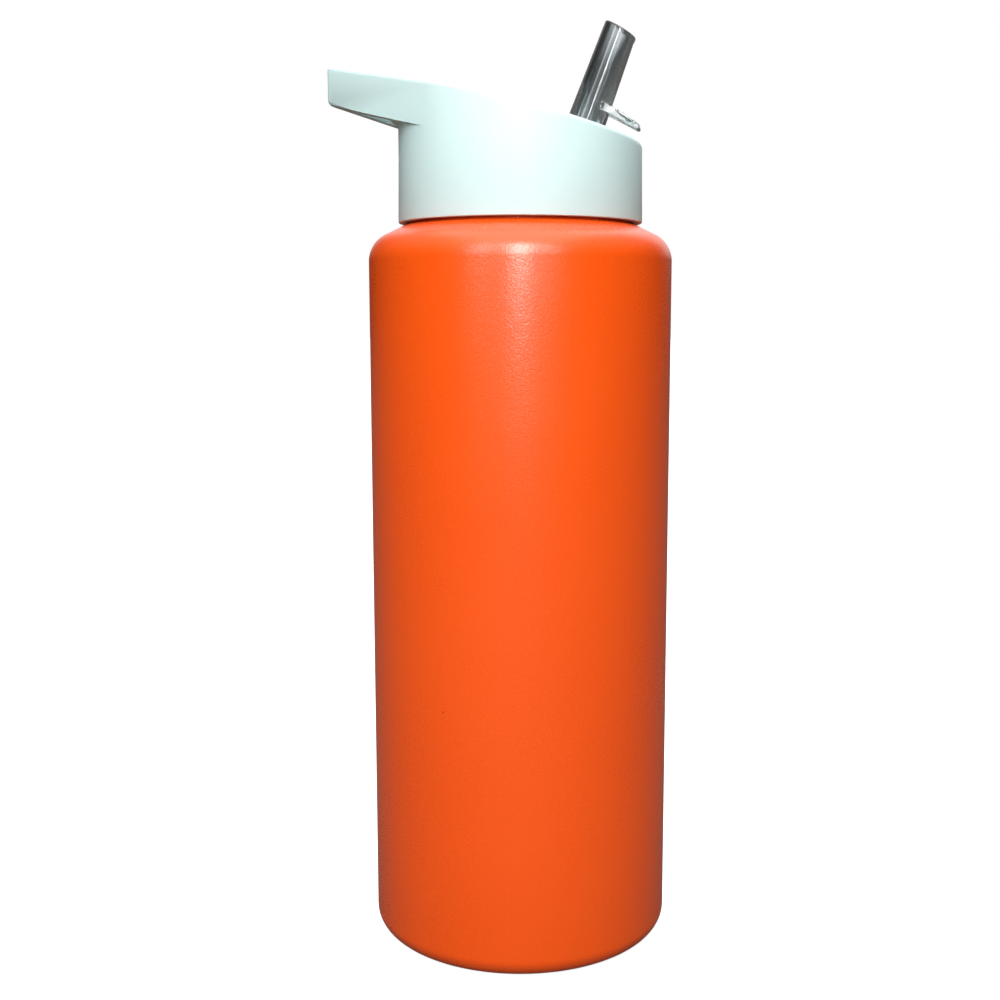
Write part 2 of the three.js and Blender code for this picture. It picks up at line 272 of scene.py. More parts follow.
def body_profile():
    corner_x = BODY_R - CORNER
    shoulder_x = BODY_R - SHOULDER
    inner = CORNER - WALL
    foot = 0.3 * MM
    inner_foot = 1.5 * MM
    inner_ledge = LEDGE_Z - 0.1 * MM
    bands = 6
    return [
        *base_profile(),
        *arc(corner_x, CORNER, CORNER, -90, 0, 12),
        *[(BODY_R, CORNER + (SHOULDER_Z - CORNER) * band / bands) for band in range(1, bands)],
        *arc(shoulder_x, SHOULDER_Z, SHOULDER, 0, SHOULDER_TURN, 14),
        *arc(LEDGE_R - EDGE, LEDGE_Z - EDGE, EDGE, SHOULDER_TURN, 90, 3),
        *arc(BEAD_R + foot, LEDGE_Z + foot, foot, 270, 180, 3),
        *arc(BEAD_R - foot, BEAD_TOP - foot, foot, 0, 90, 3),
        *arc(NECK_R + foot, BEAD_TOP + foot, foot, 270, 180, 3),
        *arc(NECK_R - EDGE, RIM_Z - EDGE, EDGE, 0, 90, 4),
        *arc(NECK_BORE + EDGE, RIM_Z - EDGE, EDGE, 90, 180, 4),
        *arc(NECK_BORE + inner_foot, inner_ledge, inner_foot, 180, 270, 5),
        *arc(shoulder_x, SHOULDER_Z, SHOULDER - WALL, SHOULDER_TURN, 0, 10),
        *arc(corner_x, FLOOR_Z + inner, inner, 0, -90, 8),
        (0, FLOOR_Z),
    ]


body = turned("body", body_profile(), sides=160)
print("body profile has", len(body_profile()), "points")

# %% [markdown]
# A thread is one small section carried round the neck while it climbs. The Screw modifier does exactly that
# with a drawn section. Its two ends are then drawn in towards the wall, as a moulded thread's are, so that
# the lid can find its start.

# %% Cut the thread
TURNS = 1.5
THREAD_Z = 177.6 * MM
THREAD_DEPTH = 1.3 * MM
THREAD_STEPS = 108
RUN_OUT = 6


def thread(name, radius, z, side):
    """A closed thread on a wall, standing outwards (side 1) or inwards (side -1)."""
    root = 1.3 * MM
    crest = 0.5 * MM
    sink = 0.4 * MM
    out = radius + side * THREAD_DEPTH
    wall = radius - side * sink
    soft = side * 0.25 * MM
    piece = line(
        name,
        [
            (wall, z - root),
            (out - soft, z - crest),
            (out, z - crest / 2),
            (out, z + crest / 2),
            (out - soft, z + crest),
            (wall, z + root),
            (wall, z - root),
        ],
    )
    bpy.ops.mesh.remove_doubles(threshold=MERGE)
    bpy.ops.object.mode_set(mode="OBJECT")
    modify(piece, "SCREW", angle=2 * math.pi * TURNS, screw_offset=PITCH * TURNS,
           steps=THREAD_STEPS, render_steps=THREAD_STEPS)
    edit(piece)
    for ring in range(RUN_OUT):
        for step in (ring, THREAD_STEPS - ring):
            angle = 2 * math.pi * TURNS * step / THREAD_STEPS
            draw_in(piece, angle, z, radius, side, 1 - ring / RUN_OUT)
    pick(piece, "EDGE", lambda edge: edge.is_boundary)
    bpy.ops.mesh.fill_holes(sides=0)
    return close(piece)


def draw_in(piece, angle, z, radius, side, share):
    """Moves one ring of the thread towards the wall by a share of the thread's depth."""
    height = z + PITCH * angle / (2 * math.pi)
    depth = THREAD_DEPTH + 0.1 * MM
    same_angle = 0.001

    def on_ring(vertex):
        here = math.atan2(vertex.co.y, vertex.co.x)
        apart = (here - angle + math.pi) % (2 * math.pi) - math.pi
        return abs(apart) < same_angle and abs(vertex.co.z - height) < PITCH / 2

    pick(piece, "VERT", on_ring)
    scale = 1 - side * share * depth / radius
    bpy.ops.transform.resize(value=(scale, scale, 1), center_override=(0, 0, 0))


combine(body, "UNION", thread("neck_thread", NECK_R, THREAD_Z, 1))
smooth(body)

# %% [markdown]
# ## The lid
# The lid is one white moulding. From outside it is a short cylinder cut off at a slant, and its sloping
# deck runs out into a handle whose straight sides leave the round wall without a corner and meet in a
# narrow nose. Two cylinders, one as wide as the lid and one at the nose, wrapped in one convex hull, make
# that drop. One slice gives it its sloping underside, and another keeps only the handle's half. Its top
# stays high for now.

# %% Shape the outside of the lid
LID_SIDES = 160
NOSE_SIDES = 48
TOP = 216 * MM
SKIRT_TOP = 190 * MM
NOSE_R = 2.2 * MM
NOSE_X = lid_low.x + NOSE_R
UNDER_Z = 190.1 * MM
UNDER_SLOPE = 0.293
TOP_EDGE = 1.1 * MM
UNDER_EDGE = 1.2 * MM


def deck_z(x):
    return DECK_Z - DECK_SLOPE * x


def under_z(x):
    return UNDER_Z - UNDER_SLOPE * x


def drop(name, lid_radius, nose_x, nose_radius, low, high):
    """Starts a block in the outline of a drop: a wide circle, a narrow one and the sides that join them."""
    middle = (low + high) / 2
    tall = high - low
    block = start(
        "cylinder", name, vertices=LID_SIDES, radius=lid_radius, depth=tall, location=(0, 0, middle))
    bpy.ops.mesh.primitive_cylinder_add(
        vertices=NOSE_SIDES, radius=nose_radius, depth=tall, location=(nose_x, 0, middle))
    bpy.ops.mesh.select_all(action="SELECT")
    bpy.ops.mesh.convex_hull()
    return block


def handle_block():
    sink = 0.05 * MM
    low, high = 189 * MM, TOP - 2 * MM
    block = drop("handle_block", LID_TOP_R - sink, NOSE_X, NOSE_R, low, high)
    slice_off((0, 0, UNDER_Z), (-UNDER_SLOPE, 0, -1))
    slice_off((0, 0, 0), (1, 0, 0))
    return close(block)


def lid_skirt():
    soft = 0.4 * MM
    return turned(
        "lid",
        [
            (0, LID_BOTTOM_Z),
            (LID_R - soft, LID_BOTTOM_Z),
            (LID_R - soft / 4, LID_BOTTOM_Z + soft / 4),
            (LID_R, LID_BOTTOM_Z + soft),
            (LID_TOP_R, SKIRT_TOP),
            (LID_TOP_R, TOP),
            (0, TOP),
        ],
        LID_SIDES,
    )


lid = lid_skirt()
combine(lid, "UNION", handle_block())
print("lid outside has", len(lid.data.polygons), "faces")

# %% [markdown]
# Inside, the skirt is bored for the neck up to a flat land, where the gasket sits, and hollow above that up
# to the underside of the deck. A trough hangs from the deck for the folded spout, with a round cradle at
# one end for the barrel that the spout turns on. All of this is solid before the slant is cut, so that one
# slice makes the whole deck.

# %% Hollow the lid and hang the trough
GAP = 0.3 * MM
LID_BORE = 27.3 * MM
LAND_Z = 188.8 * MM
DECK_THICK = 2.2 * MM
BARREL_R = 5.6 * MM
BARREL_HALF = 5 * MM
TRUNNION_R = 2 * MM
TRUNNION_HALF = 6.9 * MM
SPOUT_R = 4.4 * MM
SPOUT_LEAN = math.radians(joints["spout_flip"]["range_deg"][1]) - math.pi / 2 + DECK_ANGLE
CHANNEL_HALF = BARREL_HALF + GAP
CHANNEL_DEPTH = SPOUT_R + 0.4 * MM
CHANNEL_LENGTH = 33.4 * MM
CHANNEL_WALL = 1.6 * MM
CHEEK_HALF = 8.4 * MM
VENT_Y = 15.5 * MM
VENT_R = 3.2 * MM
VENT_WALL = 1.4 * MM
VENT_SKIN = 0.8 * MM

centre = Vector((PIVOT.x, PIVOT.z))
OPEN = Vector((math.sin(SPOUT_LEAN), math.cos(SPOUT_LEAN)))
OPEN_RIGHT = Vector((OPEN.y, -OPEN.x))
FOLDED = Vector((-math.cos(DECK_ANGLE), math.sin(DECK_ANGLE)))
DECK_UP = Vector((math.sin(DECK_ANGLE), math.cos(DECK_ANGLE)))
PORT_X = PIVOT.x - BARREL_R * OPEN.x
deck_under = DECK_Z - DECK_THICK / math.cos(DECK_ANGLE)
print(f"open spout leans {math.degrees(SPOUT_LEAN):.1f} degrees")


def channel_outline(wall):
    depth = CHANNEL_DEPTH + wall
    clear = 14 * MM
    end = centre + FOLDED * (CHANNEL_LENGTH + wall)
    return [
        centre + OPEN_RIGHT * depth,
        centre + OPEN_RIGHT * depth + OPEN * clear,
        end + DECK_UP * clear,
        end - DECK_UP * depth,
        centre - DECK_UP * depth,
    ]


def across(name, radius, half, rounding=0.0, sides=96):
    """A cylinder across the bottle on the spout's pivot, with rounded ends if asked."""
    ends = arc(radius - rounding, half - rounding, rounding, 0, 90, 4) if rounding else [(radius, half)]
    profile = [(0, -half), *[(r, -z) for r, z in reversed(ends)], *ends, (0, half)]
    return settle(turned(name, profile, sides), turn=(math.pi / 2, 0, 0), place=PIVOT)


def disc(name, radius, low, high, x=0.0, y=0.0, sides=64):
    profile = [(0, low), (radius, low), (radius, high), (0, high)]
    return settle(turned(name, profile, sides), place=(x, y, 0))


def lid_inside():
    low = LID_BOTTOM_Z - MM
    hollow = turned(
        "lid_inside",
        [(0, low), (LID_BORE, low), (LID_BORE, LAND_Z), (NECK_BORE, LAND_Z), (NECK_BORE, TOP), (0, TOP)],
        LID_SIDES,
    )
    edit(hollow)
    slice_off((0, 0, deck_under), (DECK_SLOPE, 0, 1))
    return close(hollow)


combine(lid, "DIFFERENCE", lid_inside())
combine(
    lid,
    "UNION",
    plate("trough", channel_outline(CHANNEL_WALL), CHANNEL_HALF + CHANNEL_WALL),
    across("cradle", BARREL_R + GAP + CHANNEL_WALL, CHEEK_HALF),
    disc("vent_boss", VENT_R + VENT_WALL, deck_under - 4 * MM, DECK_Z + 2 * MM, y=VENT_Y),
    thread("lid_thread", LID_BORE, THREAD_Z + PITCH / 2, -1),
)
print("lid with trough has", len(lid.data.polygons), "faces")

# %% [markdown]
# The slant is cut in one slice, and its rim gets the round edge that a hand feels: a real bevel, so that it
# catches the light in every view. The handle's underside edges are rounded the same way, and so is the
# inside corner where the handle meets the skirt. Flat faces are merged first, so that the bevel runs on
# clean edges.

# %% Cut the deck and round its rim
NEAR = 0.01 * MM
FLAT = math.radians(0.3)
HANDLE_FROM_X = -0.8 * LID_R

edit(lid)
slice_off((0, 0, DECK_Z), (DECK_SLOPE, 0, 1))
bpy.ops.mesh.select_all(action="SELECT")
bpy.ops.mesh.dissolve_limited(angle_limit=FLAT)


def on_deck(vertex):
    return abs(vertex.co.z - deck_z(vertex.co.x)) < NEAR


def on_underside(vertex):
    return abs(vertex.co.z - under_z(vertex.co.x)) < NEAR and vertex.co.x < HANDLE_FROM_X


def sharp(edge, degrees=30):
    return len(edge.link_faces) == 2 and edge.calc_face_angle() > math.radians(degrees)


rim = pick(lid, "EDGE", lambda edge: sharp(edge) and all(on_deck(v) for v in edge.verts))
round_off(TOP_EDGE, 6)
under = pick(lid, "EDGE", lambda edge: sharp(edge) and all(on_underside(v) for v in edge.verts))
round_off(UNDER_EDGE, 5)
close(lid)
print("rounded", rim, "edges on the rim and", under, "under the handle")

# %% [markdown]
# Then the openings: the channel with its cradle, the blind holes for the trunnions, the pocket for the
# seal, the vent, and the slot in the handle for a strap or a finger. The slot repeats the handle's drop,
# smaller, and stops short of the lid's wall.

# %% Cut the openings
SEAL_SIZE = 7.4 * MM
SEAL_Z = 183 * MM
LIMB = 4 * MM
SLOT_FROM = 31 * MM
SLOT_NOSE_R = 1.5 * MM
SLOT_CORNER = 1.3 * MM
OPENING_EDGE = 0.5 * MM


def slot_cutter():
    low, high = 180 * MM, TOP + MM
    narrowing = (LID_TOP_R - NOSE_R) / NOSE_X
    slot_x = (LID_TOP_R - LIMB - SLOT_NOSE_R) / narrowing
    tool = drop("slot_cutter", LID_TOP_R - LIMB, slot_x, SLOT_NOSE_R, low, high)
    close(tool)
    combine(tool, "DIFFERENCE", disc("slot_end", SLOT_FROM, low - MM, high + MM, sides=LID_SIDES))
    edit(tool)
    pick(tool, "EDGE", lambda edge: sharp(edge, 45) and upright(edge))
    round_off(SLOT_CORNER, 6)
    return close(tool)


combine(
    lid,
    "DIFFERENCE",
    plate("channel", channel_outline(0), CHANNEL_HALF),
    across("barrel_room", BARREL_R + GAP, CHANNEL_HALF),
    across("trunnion_room", TRUNNION_R + GAP, TRUNNION_HALF + GAP),
    settle(close(start("cube", "seal_pocket", size=SEAL_SIZE + 2 * GAP)), place=(PORT_X, 0, SEAL_Z)),
    disc("vent_pocket", VENT_R + GAP, deck_under - 5 * MM, deck_under - VENT_SKIN, y=VENT_Y),
    disc("vent_hole", 1 * MM, deck_under - 2 * MM, TOP, y=VENT_Y, sides=32),
    slot_cutter(),
)


def at_opening(edge):
    outside = all(map(on_deck, edge.verts)) or all(map(on_underside, edge.verts))
    return outside and sharp(edge, 40)


edit(lid)
cut_edges = pick(lid, "EDGE", at_opening)
round_off(OPENING_EDGE, 3)
close(lid)
smooth(lid)
print("rounded", cut_edges, "edges of the openings")

# %% [markdown]
# ## The clear spout
# The spout is one clear moulding: a slightly tapered tube with a slanted mouth and a low lip, the barrel
# and the two trunnions that it turns on, and a thumb tab that lifts it. Its round parts are turned upright
# on their own axis and then leaned over. The bore is cut last and narrows just above the tab, where the
# drinking tube meets the barrel's port. In clear plastic that step shows as a bright line, so it has to be
# real.

# %% Shape the tube and its mouth
SPOUT_SIDES = 96
SPOUT_LENGTH = 30.7 * MM
SPOUT_ROOT_R = 4.75 * MM
SPOUT_TIP_R = 3.9 * MM
SPOUT_BORE = 3.05 * MM
PORT_R = 2.4 * MM
STEP_UP = 16.6 * MM
STEP_TALL = 2.6 * MM
MOUTH_SLOPE = math.radians(30.8)
MOUTH_EDGE = 0.38 * MM
LIP_TALL = 1.1 * MM
LIP_PROUD = 0.14 * MM
TAB_UP = 13.2 * MM
TAB_ANGLE = math.radians(-30.5)
TAB_LENGTH = 12.8 * MM
TAB_HALF = 3.9 * MM
TAB_ROOT = 1.15 * MM
TAB_TIP = 0.5 * MM


def lean_over(piece):
    return settle(piece, turn=(0, SPOUT_LEAN, 0), place=PIVOT)


def slice_mouth(piece):
    """Cuts the top off at the mouth's slant."""
    mouth = centre + OPEN * SPOUT_LENGTH
    edit(piece)
    slice_off((mouth.x, 0, mouth.y), (math.sin(MOUTH_SLOPE), 0, math.cos(MOUTH_SLOPE)))
    return close(piece)


def spout_tube():
    long = SPOUT_LENGTH + 5 * MM
    profile = [(0, 0), (SPOUT_ROOT_R, 0), (SPOUT_TIP_R, long), (0, long)]
    return lean_over(turned("clear_spout", profile, SPOUT_SIDES))


def spout_bore():
    low = -2 * BARREL_R
    long = SPOUT_LENGTH + 6 * MM
    taper = 0.1 * MM
    profile = [
        (0, low),
        (PORT_R, low),
        (PORT_R, STEP_UP - STEP_TALL),
        (SPOUT_BORE, STEP_UP),
        (SPOUT_BORE - taper, long),
        (0, long),
    ]
    return lean_over(turned("spout_bore", profile, SPOUT_SIDES))


def mouth_lip():
    """A low bead under the mouth, which stands out at the tip and fades towards the back."""
    low, high = SPOUT_LENGTH - 8 * MM, SPOUT_LENGTH + 8 * MM
    ring = disc("mouth_lip", SPOUT_TIP_R + LIP_PROUD, low, high, sides=SPOUT_SIDES)
    settle(ring, place=(LIP_PROUD, 0, 0))
    lean_over(ring)
    mouth = centre + OPEN * (SPOUT_LENGTH - LIP_TALL)
    edit(ring)
    slice_off((mouth.x, 0, mouth.y), (-math.sin(MOUTH_SLOPE), 0, -math.cos(MOUTH_SLOPE)))
    return close(ring)


spout = spout_tube()
combine(spout, "UNION", mouth_lip())
slice_mouth(spout)

# %% [markdown]
# The tab is a flat tongue with a rounded end and a few low ridges for the thumb. It is a plate drawn in
# side view, so that its taper is in the drawing. A block with bevelled corners then trims it to its rounded
# plan.

# %% Add the barrel and the thumb tab
RIDGES = 4
RIDGE_PITCH = 1.45 * MM
RIDGE_RISE = 0.18 * MM
RIDGE_SHAPE = [(-0.3, 0), (-0.1, 1), (0.15, 1), (0.35, 0)]
TAB_END = 0.3 * MM
TAB_EDGE = 0.22 * MM
TAB_CORNER = 2.9 * MM


def ridge_points():
    """The top of the tab, from half-way out: each ridge as shares of its pitch and of its rise."""
    points = []
    for ridge in range(RIDGES):
        at = TAB_LENGTH * 0.5 + ridge * RIDGE_PITCH
        half = TAB_ROOT + (TAB_TIP - TAB_ROOT) * at / TAB_LENGTH
        points += [(at + RIDGE_PITCH * along, half + RIDGE_RISE * up) for along, up in RIDGE_SHAPE]
    return points


def tab_points():
    root = centre + OPEN * TAB_UP
    along = Vector((math.cos(TAB_ANGLE), math.sin(TAB_ANGLE)))
    up = Vector((-along.y, along.x))
    sides = [
        (0, TAB_ROOT),
        *ridge_points(),
        (TAB_LENGTH - TAB_END, TAB_TIP),
        (TAB_LENGTH, TAB_TIP - TAB_END),
        (TAB_LENGTH, -TAB_TIP + TAB_END),
        (TAB_LENGTH - TAB_END, -TAB_TIP),
        (0, -TAB_ROOT),
    ]
    return [root + along * a + up * b for a, b in sides]


def thumb_tab():
    tab = plate("thumb_tab", tab_points(), TAB_HALF)
    tip_x = max(vertex.co.x for vertex in tab.data.vertices)
    edit(tab)

    def end_corner(edge):
        level = abs(edge.verts[0].co.y - edge.verts[1].co.y) < NEAR
        outer = min(abs(vertex.co.y) for vertex in edge.verts) > TAB_HALF - NEAR
        return level and outer

    pick(tab, "EDGE", end_corner)
    round_off(TAB_EDGE, 2)
    print(f"thumb tab reaches x = {tip_x / MM:.1f} mm")
    return close(tab)


def tab_plan():
    """A tall block with the tab's rounded outline in plan, which trims the tab to it."""
    low, high = 190 * MM, 212 * MM
    half_long = 12 * MM
    outer = PIVOT.x + (OPEN * TAB_UP).x + TAB_LENGTH * math.cos(TAB_ANGLE)
    block = start(
        "cube", "tab_plan", size=1,
        scale=(2 * half_long, 2 * TAB_HALF + MM, high - low),
        location=(outer - half_long, 0, (low + high) / 2),
    )
    pick(block, "EDGE", lambda edge: upright(edge) and all(v.co.x > outer - MM for v in edge.verts))
    round_off(TAB_CORNER, 8)
    return close(block)


tab = thumb_tab()
combine(tab, "INTERSECT", tab_plan())
combine(
    spout,
    "UNION",
    across("barrel", BARREL_R, BARREL_HALF, rounding=0.35 * MM),
    across("trunnions", TRUNNION_R, TRUNNION_HALF, rounding=0.3 * MM, sides=48),
    tab,
)
combine(spout, "DIFFERENCE", spout_bore())


def at_mouth(edge):
    mouth = centre + OPEN * SPOUT_LENGTH
    slope = math.tan(MOUTH_SLOPE)
    return all(abs(v.co.z - (mouth.y - slope * (v.co.x - mouth.x))) < NEAR for v in edge.verts)


edit(spout)
mouth_edges = pick(spout, "EDGE", lambda edge: sharp(edge, 40) and at_mouth(edge))
round_off(MOUTH_EDGE, 4)
close(spout)
smooth(spout)
print("rounded", mouth_edges, "edges at the mouth")

# %% [markdown]
# ## Seals, straw and valve
# What works inside the lid is simple and mostly turned: a flat ring for the rim, a hollowed pad under the
# barrel, a plate with a nipple that holds the pad up, a long straw cut at a slant so that it can't seal
# itself against the floor, and a duckbill that lets air in.

# %% Make the inner pieces
RING_IN = NECK_BORE + GAP
RING_OUT = LID_BORE - GAP
PLATE_THICK = 1.5 * MM
NIPPLE_R = 2.8 * MM
NIPPLE_BORE = 1.8 * MM
NIPPLE_LENGTH = 11 * MM
STRAW_R = 4 * MM
STRAW_LOW = 5 * MM
STRAW_SLANT = 0.7
plate_top = SEAL_Z - GAP
plate_under = plate_top - PLATE_THICK


def gasket_ring():
    low = RIM_Z + GAP
    high = LAND_Z - GAP
    soft = 0.3 * MM
    profile = [
        *arc(RING_IN + soft, low + soft, soft, 180, 270, 3),
        *arc(RING_OUT - soft, low + soft, soft, 270, 360, 3),
        *arc(RING_OUT - soft, high - soft, soft, 0, 90, 3),
        *arc(RING_IN + soft, high - soft, soft, 90, 180, 3),
        (RING_IN, low + soft),
    ]
    return smooth(turned("gasket_ring", profile, 128))


def rounded_block(name, width, depth, low, high, soft):
    """A block under the barrel's port with its four upright edges rounded."""
    block = start(
        "cube", name, size=1, scale=(width, depth, high - low), location=(PORT_X, 0, (low + high) / 2))
    pick(block, "EDGE", upright)
    round_off(soft, 5)
    return close(block)


def seal_pad():
    pad = rounded_block("seal_pad", SEAL_SIZE, SEAL_SIZE, SEAL_Z, SEAL_Z + 4 * MM, 1.2 * MM)
    combine(
        pad,
        "DIFFERENCE",
        across("pad_hollow", BARREL_R + GAP, CHANNEL_HALF),
        disc("pad_port", PORT_R, SEAL_Z - MM, PIVOT.z, x=PORT_X),
    )
    return smooth(pad)


def retainer():
    low = plate_under - NIPPLE_LENGTH
    high = plate_top - MM
    neck = NIPPLE_R - 0.25 * MM
    width = 2 * SEAL_SIZE
    holder = rounded_block("retainer", width, width - 2 * MM, plate_under, plate_top, 2 * MM)
    nipple = turned(
        "nipple",
        [
            (0, low),
            (NIPPLE_R - 0.5 * MM, low),
            (NIPPLE_R, low + 1.2 * MM),
            (NIPPLE_R, low + 2 * MM),
            (neck, low + 2.2 * MM),
            (neck, high),
            (0, high),
        ],
    )
    combine(holder, "UNION", settle(nipple, place=(PORT_X, 0, 0)))
    combine(holder, "DIFFERENCE", disc("nipple_bore", NIPPLE_BORE, low - MM, plate_top + MM, x=PORT_X))
    return smooth(holder)


def straw():
    bore = NIPPLE_R + GAP
    top = plate_under - GAP
    soft = 0.2 * MM
    profile = [
        (bore, STRAW_LOW),
        (STRAW_R, STRAW_LOW),
        *arc(STRAW_R - soft, top - soft, soft, 0, 90, 3),
        *arc(bore + soft, top - soft, soft, 90, 180, 3),
        (bore, STRAW_LOW),
    ]
    tube = settle(turned("straw", profile, 64), place=(PORT_X, 0, 0))
    edit(tube)
    slice_off((PORT_X, 0, STRAW_LOW + STRAW_SLANT * STRAW_R), (-STRAW_SLANT, 0, -1))
    return smooth(close(tube))


def vent_duckbill():
    top = deck_under - VENT_SKIN - GAP
    beak = top - 5.6 * MM
    flange = 1.2 * MM
    bore = 0.9 * MM
    soft = 0.3 * MM
    profile = [
        (0, top - 5 * MM),
        (0.5 * MM, beak),
        (1.1 * MM, beak),
        (2.1 * MM, top - flange),
        *arc(VENT_R - soft, top - flange + soft, soft, -90, 0, 3),
        *arc(VENT_R - soft, top - soft, soft, 0, 90, 3),
        (bore, top),
        (bore, top - 3 * MM),
        (0, top - 3.6 * MM),
    ]
    return smooth(settle(turned("vent_duckbill", profile, 48), place=(0, VENT_Y, 0)))


inner = {
    "lid_gasket": gasket_ring(),
    "spout_seal": seal_pad(),
    "seal_retainer": retainer(),
    "dip_straw": straw(),
    "vent_valve": vent_duckbill(),
}
print("inner pieces:", sorted(inner))

# %% [markdown]
# ## Writing materials as sums
# A shader is arithmetic on numbers that change over the surface. `Value` wraps a socket so that Python's
# own `+`, `-` and `*` add the Math nodes, and `Recipe` adds every other node through one method that takes
# its type, its settings and what goes into its sockets. `Finish` is the recipe of one material.

# %% Wrap sockets
class Value:
    """A number that changes over the surface: an output socket that can be added and multiplied."""

    def __init__(self, recipe, socket):
        self.recipe, self.socket = recipe, socket

    def math(self, operation, *values):
        return self.recipe.node("ShaderNodeMath", {"operation": operation}, dict(enumerate(values)))

    def __add__(self, other):
        return self.math("ADD", self, other)

    def __mul__(self, other):
        return self.math("MULTIPLY", self, other)

    def __sub__(self, other):
        return self.math("SUBTRACT", self, other)

    def __rsub__(self, other):
        return self.math("SUBTRACT", other, self)

    __radd__ = __add__
    __rmul__ = __mul__


class Recipe:
    """A node tree under construction."""

    def __init__(self, tree):
        self.tree = tree

    def node(self, kind, settings=(), inputs=(), output=0):
        made = self.tree.nodes.new(kind)
        for setting, value in dict(settings).items():
            setattr(made, setting, value)
        for name, value in dict(inputs).items():
            self.feed(made.inputs[name], value)
        return Value(self, made.outputs[output])

    def feed(self, socket, value):
        if isinstance(value, Value):
            self.tree.links.new(value.socket, socket)
        else:
            socket.default_value = value

    def ramp(self, value, low, high, start=0.0, end=1.0):
        """Runs from start to end while the value goes from low to high, and stays there outside."""
        inputs = {"Value": value, "From Min": low, "From Max": high, "To Min": start, "To Max": end}
        return self.node("ShaderNodeMapRange", inputs=inputs)

    def mix(self, share, first, second):
        """Mixes two colours."""
        return self.node("ShaderNodeMix", {"data_type": "RGBA"}, {0: share, 6: first, 7: second}, output=2)


class Finish(Recipe):
    """A material, with the patterns that plastics need."""

    def __init__(self, name):
        self.material = bpy.data.materials.new(name)
        self.material.use_nodes = True
        super().__init__(self.material.node_tree)
        self.surface = self.tree.nodes["Principled BSDF"]
        self.place = self.node("ShaderNodeTexCoord", output="Object")

    def noise(self, size, detail=2.0, distortion=0.0):
        """Smooth noise from 0 to 1 whose lumps are about so many metres across."""
        inputs = {"Vector": self.place, "Scale": 1 / size, "Detail": detail, "Distortion": distortion}
        return self.node("ShaderNodeTexNoise", inputs=inputs)

    def bump(self, height, depth, strength=1.0):
        inputs = {"Height": height, "Distance": depth, "Strength": strength}
        return self.node("ShaderNodeBump", inputs=inputs)

    def shade(self, **sockets):
        """Sets the surface's own sockets, named with _ for a space."""
        for name, value in sockets.items():
            self.feed(self.surface.inputs[name.replace("_", " ")], value)
        return self.material


# %% [markdown]
# ## Orange body plastic
# The body is coloured through and moulded against a fine-blasted steel, so it has a close grain with a soft
# sheen over it. The grain is two sizes of noise as a bump. The colour drifts a little, as filled plastic
# does, and a few tiny dark flecks of pigment are left in it. Cells of noise place them: each cell has one
# point, and only what lies very close to a point is dark.

# %% Mix the body plastic
ORANGE_DEEP = (0.82, 0.076, 0.001, 1)
ORANGE_LIGHT = (0.88, 0.092, 0.003, 1)
FLECK_BROWN = (0.22, 0.015, 0.002, 1)
FLECK_APART = 16 * MM


def body_plastic():
    paint = Finish("orange_plastic")
    drift = paint.noise(40 * MM, detail=3)
    grain = paint.noise(0.42 * MM, detail=1)
    orange_peel = paint.noise(1.6 * MM, detail=1)
    cloud = paint.mix(drift, ORANGE_DEEP, ORANGE_LIGHT)
    to_fleck = paint.node(
        "ShaderNodeTexVoronoi",
        {"feature": "F1"},
        {"Vector": paint.place, "Scale": 1 / FLECK_APART, "Randomness": 1.0},
        output="Distance",
    )
    fleck = paint.ramp(to_fleck, 0.008, 0.018, start=1.0, end=0.0)
    color = paint.mix(fleck * 0.75, cloud, FLECK_BROWN)
    height = grain * 0.8 + orange_peel * 0.2
    rough = paint.ramp(drift, 0.3, 0.7, start=0.25, end=0.28) + grain * 0.03
    return paint.shade(
        Base_Color=color,
        Roughness=rough,
        Normal=paint.bump(height, depth=0.09 * MM, strength=0.55),
        Specular_IOR_Level=0.75,
    )


orange = body_plastic()
print("orange plastic:", len(orange.node_tree.nodes), "nodes")

# %% [markdown]
# ## White lid plastic
# The lid has a soft satin face with hardly any grain: a very low bump, a faint drift in tone from the melt,
# and fine handling marks that only show as changes in gloss. The white leans to blue-green, and a little
# light passes under its surface, which softens its edges.

# %% Mix the lid plastic
WHITE_DEEP = (0.57, 0.76, 0.75, 1)
WHITE_LIGHT = (0.62, 0.80, 0.79, 1)


def lid_plastic():
    paint = Finish("white_plastic")
    drift = paint.noise(22 * MM, detail=3)
    grain = paint.noise(0.9 * MM, detail=2)
    scuffs = paint.noise(6 * MM, detail=8, distortion=2.5)
    marks = paint.ramp(scuffs, 0.52, 0.62)
    return paint.shade(
        Base_Color=paint.mix(drift, WHITE_DEEP, WHITE_LIGHT),
        Roughness=0.48 + drift * 0.06 + marks * 0.05,
        Normal=paint.bump(grain, depth=0.03 * MM, strength=0.4),
        Subsurface_Weight=0.08,
        Subsurface_Scale=2 * MM,
    )


white = lid_plastic()
print("white plastic:", len(white.node_tree.nodes), "nodes")

# %% [markdown]
# ## Clear, natural and soft plastics
# The spout is clear plastic with a smoky tint, and real refraction through real walls makes its dark and
# bright stripes. The straw and the retainer are uncoloured, milky plastic. The seals are soft, matt
# silicone.

# %% Mix the other plastics
SMOKE_DEEP = (0.80, 0.85, 0.87, 1)
SMOKE_LIGHT = (0.84, 0.89, 0.91, 1)
MILK_DEEP = (0.74, 0.77, 0.76, 1)
MILK_LIGHT = (0.82, 0.84, 0.83, 1)
RUBBER_DEEP = (0.66, 0.68, 0.66, 1)
RUBBER_LIGHT = (0.74, 0.76, 0.74, 1)


